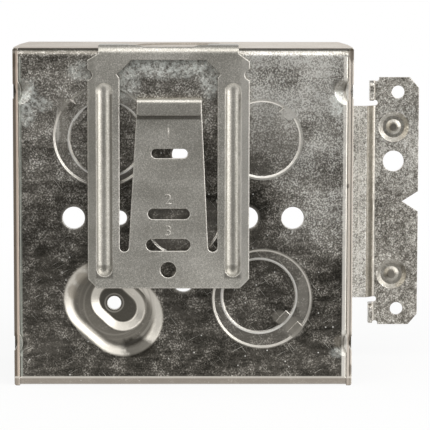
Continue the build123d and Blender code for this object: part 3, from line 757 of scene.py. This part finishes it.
def addCoverScrew(which, tree, sockets):
    look, node = coverScrew, which + "_cover_screw"
    low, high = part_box(node)
    profile = [(0, look["tip"]), (look["tipRadius"], look["tip"])]
    profile += [(look["core"], look["tip"] + look["tipTaper"]), (look["core"], look["seat"])]
    profile += [(radius, look["seat"] + up) for radius, up in look["head"]]
    place = Matrix.Translation(((low[0] + high[0]) / 2, 0, (low[2] + high[2]) / 2))
    place = place @ Matrix.Rotation(math.radians(look["turned"][which]), 4, "Y")
    sizes = {
        "Start": look["threadFrom"] * mm, "Length": look["pitch"] * look["turns"] * mm,
        "Turns": look["turns"], "Radius": look["threadMiddle"] * mm, "Ridge": look["ridge"] * mm}
    cutters = [headCut("slot_cut", *look["slot"]), headCut("cross_cut", *look["cross"])]
    form = latheMesh(node + "_form", profile, look["sides"])
    piece = settle(which + "_threaded_screw", form, tree, sockets, sizes, cutters, place)
    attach(piece, which + "_screw")
    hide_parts(node)


thread, threadSockets = threadTree(screwZinc)
for which in ("upper", "lower"):
    addCoverScrew(which, thread, threadSockets)
print("cover screws made")


# Spot welds that hold the bracket's leg on the right wall

weldMarks = {
    "profile": [(0, -0.1), (2.7, -0.1), (2.7, 0), (2.3, 0.07), (1.8, 0.05), (1.3, -0.02), (0, 0.02)],   # mm
    "sides": 32, "first": (52.0, 36, -27), "step": 18, "count": 4,
}


def weldTree(material):
    tree, sockets, given = startTree("weld_row", ["Count", "Step"])
    step = addNode(tree, "ShaderNodeCombineXYZ", None, {"Z": given["Step"]})
    row = addNode(tree, "GeometryNodeMeshLine", {"mode": "OFFSET"}, {"Count": given["Count"], "Offset": step})
    marks = addNode(tree, "GeometryNodeInstanceOnPoints", None, {
        "Points": row, "Instance": given["Geometry"], "Rotation": (0, 0, -math.pi / 2)})
    finishTree(tree, marks, material)
    return tree, sockets


welds, weldSockets = weldTree(bracketZinc)
weldForm = latheMesh("weld_mark", weldMarks["profile"], weldMarks["sides"])
weldSizes = {"Count": float(weldMarks["count"]), "Step": weldMarks["step"] * mm}
weldPlace = Matrix.Translation(Vector(weldMarks["first"]) * mm)
weldRow = settle("bracket_weld_marks", weldForm, welds, weldSockets, weldSizes, [], weldPlace)
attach(weldRow, "box")
print("weld marks made")


# Plain numbers stamped beside the tongue's three slots

stampedNumbers = {
    "height": 4.6, "proud": 0.06, "heavier": 0.06, "front": -2.2,     # mm; front is the tongue's outer face
    "merge": 0.001,
    "places": {"1": (-4.5, 24.0), "2": (-4.5, 4.2), "3": (-4.5, -5.2)},
}


def addNumbers(material):
    look = stampedNumbers
    stamped = bmesh.new()
    for digit, (x, z) in look["places"].items():
        data = bpy.data.curves.new("number_" + digit, "FONT")
        data.body, data.align_x, data.size = digit, "CENTER", look["height"] * mm
        data.extrude, data.offset = look["proud"] * mm, look["heavier"] * mm
        letter = bpy.data.objects.new("number_" + digit, data)
        bpy.context.scene.collection.objects.link(letter)
        graph = bpy.context.evaluated_depsgraph_get()
        mesh = bpy.data.meshes.new_from_object(letter.evaluated_get(graph))
        upright = Matrix.Rotation(math.pi / 2, 4, "X")
        mesh.transform(Matrix.Translation((x * mm, look["front"] * mm, z * mm)) @ upright)
        stamped.from_mesh(mesh)
        bpy.data.objects.remove(letter)
    bmesh.ops.remove_doubles(stamped, verts=stamped.verts, dist=look["merge"] * mm)
    bmesh.ops.recalc_face_normals(stamped, faces=stamped.faces)
    mesh = bpy.data.meshes.new("stamped_numbers")
    stamped.to_mesh(mesh)
    stamped.free()
    mesh.materials.clear()
    mesh.materials.append(material)
    piece = bpy.data.objects.new("stamped_numbers", mesh)
    bpy.context.scene.collection.objects.link(piece)
    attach(piece, "box")


addNumbers(supportZinc)
print("numbers stamped")


# Floor, backdrop and light

studio = {
    "floorHalf": 3.0,             # metres
    "backdropAt": 2.5,
    "backdropTop": 1.0,
    "paper": "f4f4f2",
    "cameraWhite": 0.88,          # near the object, the share of the floor that is plain white to the camera
    "shadowReach": (0.12, 0.45),  # metres from the centre where that share rises to 1
    "room": 0.9,                  # brightness of the room to the metal, but for the sides below
    "frontDark": 0.2,             # brightness of the room in front, as the metal mirrors it
    "frontWedge": (0.7, 0.97),    # cosines of the angles off the front between which it fades in
    "frontFrom": (-0.01, -0.03),  # where the floor in front starts to fade into it
    "skyDark": 0.4,               # the share of it that is left above the backdrop and at the far left
    # the ways those two sides lie, and the cosines between which each fades in
    "skySides": [((0, 0.64, 0.77), (0.6, 0.85)), ((-0.97, -0.24, 0), (0.75, 0.95))],
}
lamps = {
    # place and size in metres, and watts
    "key": ((1.0, -0.75, 0.45), (0.8, 1.2), 10),
    "fill": ((-0.75, -1.0, 0.3), (0.4, 1.0), 3),
    "above_front": ((0.1, -0.9, 0.9), (1.4, 0.9), 4),
}


def floorGlow(tree, place, mirrored, share):
    # how bright the floor is to the metal, and the share of it that is plain white
    depth = addNode(tree, "ShaderNodeSeparateXYZ", None, {"Vector": place}, "Y")
    start, end = studio["frontFrom"]
    outer, inner = studio["frontWedge"]
    near, far = studio["shadowReach"]
    ahead = addNode(tree, "ShaderNodeVectorMath", {"operation": "NORMALIZE"}, {0: place})
    ahead = addNode(tree, "ShaderNodeVectorMath", dot, {0: ahead, 1: (0, -1, 0)}, "Value")
    wedge = addNode(tree, "ShaderNodeMapRange", smoothStep, {
        "Value": ahead, "From Min": outer, "From Max": inner})
    begun = addNode(tree, "ShaderNodeMapRange", smoothStep, {
        "Value": depth, "From Min": start, "From Max": end})
    wedge = addNode(tree, "ShaderNodeMath", multiply, {0: wedge, 1: begun})
    fade = addNode(tree, "ShaderNodeMapRange", None, {
        "Value": wedge, "To Min": 1.0, "To Max": studio["frontDark"]})
    strength = addNode(tree, "ShaderNodeMix", None, {"Factor": mirrored, 2: 1.0, 3: fade})
    away = addNode(tree, "ShaderNodeVectorMath", length, {0: place}, "Value")
    white = addNode(tree, "ShaderNodeMapRange", smoothStep, {
        "Value": away, "From Min": near, "From Max": far, "To Min": studio["cameraWhite"], "To Max": 1.0})
    white = addNode(tree, "ShaderNodeMath", maximum, {0: white, 1: mirrored})
    return strength, addNode(tree, "ShaderNodeMath", multiply, {0: share, 1: white})


def whiteSheet(name, isFloor):
    # Matt white paper, mostly plain white to the camera, so the object's shadow stays faint. The metal
    # mirrors it white too, apart from the floor in front, which fades into the unlit side of the room.
    material, tree = newMaterial(name)
    place = addNode(tree, "ShaderNodeTexCoord", output="Object")
    path = addNode(tree, "ShaderNodeLightPath").node.outputs
    mirrored = addNode(tree, "ShaderNodeMath", maximum, {
        0: path["Is Glossy Ray"], 1: path["Is Transmission Ray"]})
    share = addNode(tree, "ShaderNodeMath", maximum, {0: path["Is Camera Ray"], 1: mirrored})
    strength = 1.0
    if isFloor:
        strength, share = floorGlow(tree, place, mirrored, share)
    paper = addNode(tree, "ShaderNodeBsdfDiffuse", None, {"Color": studio["paper"]})
    plain = addNode(tree, "ShaderNodeEmission", None, {"Color": (1, 1, 1, 1), "Strength": strength})
    mix = addNode(tree, "ShaderNodeMixShader", None, {0: share, 1: paper, 2: plain})
    addNode(tree, "ShaderNodeOutputMaterial", None, {"Surface": mix})
    return material


def flatPiece(name, corners, material):
    mesh = bpy.data.meshes.new(name)
    mesh.from_pydata([Vector(c) for c in corners], [], [tuple(range(len(corners)))])
    mesh.materials.append(material)
    piece = bpy.data.objects.new(name, mesh)
    bpy.context.scene.collection.objects.link(piece)


floorZ = cadLow[2]
wide, far, top = studio["floorHalf"], studio["backdropAt"], studio["backdropTop"]
flatPiece("floor", [(-wide, -wide, floorZ), (wide, -wide, floorZ), (wide, far, floorZ), (-wide, far, floorZ)],
          whiteSheet("floor_paper", True))
flatPiece("backdrop", [(-wide, far, floorZ), (wide, far, floorZ), (wide, far, top), (-wide, far, top)],
          whiteSheet("backdrop_paper", False))


def areaLamp(name, place, size, watts):
    data = bpy.data.lights.new(name, "AREA")
    data.shape = "RECTANGLE"
    data.size, data.size_y = size
    data.energy = watts
    lamp = bpy.data.objects.new(name, data)
    lamp.location = place
    lamp.rotation_euler = (-Vector(place)).to_track_quat("-Z", "Y").to_euler()
    bpy.context.scene.collection.objects.link(lamp)


for name, (place, size, watts) in lamps.items():
    areaLamp(name, place, size, watts)


def roomWorld():
    # A pale room with one unlit side, behind the camera, which the flat back mirrors. White where seen.
    world = bpy.data.worlds.new("studio")
    bpy.context.scene.world = world
    world.use_nodes = True
    tree = world.node_tree
    tree.nodes.clear()
    outer, inner = studio["frontWedge"]
    heading = addNode(tree, "ShaderNodeTexCoord", output="Generated")
    ahead = addNode(tree, "ShaderNodeVectorMath", dot, {0: heading, 1: (0, -1, 0)}, "Value")
    grey = addNode(tree, "ShaderNodeMapRange", smoothStep, {
        "Value": ahead, "From Min": outer, "From Max": inner,
        "To Min": studio["room"], "To Max": studio["frontDark"]})
    for side, (begins, full) in studio["skySides"]:
        toward = addNode(tree, "ShaderNodeVectorMath", dot, {0: heading, 1: side}, "Value")
        dim = addNode(tree, "ShaderNodeMapRange", smoothStep, {
            "Value": toward, "From Min": begins, "From Max": full,
            "To Min": 1.0, "To Max": studio["skyDark"]})
        grey = addNode(tree, "ShaderNodeMath", multiply, {0: grey, 1: dim})
    seen = addNode(tree, "ShaderNodeLightPath", output="Is Camera Ray")
    strength = addNode(tree, "ShaderNodeMix", None, {"Factor": seen, 2: grey, 3: 1.0})
    air = addNode(tree, "ShaderNodeBackground", None, {"Color": (1, 1, 1, 1), "Strength": strength})
    addNode(tree, "ShaderNodeOutputWorld", None, {"Surface": air})


roomWorld()
bpy.context.scene.view_settings.view_transform = "Standard"
print("studio set")
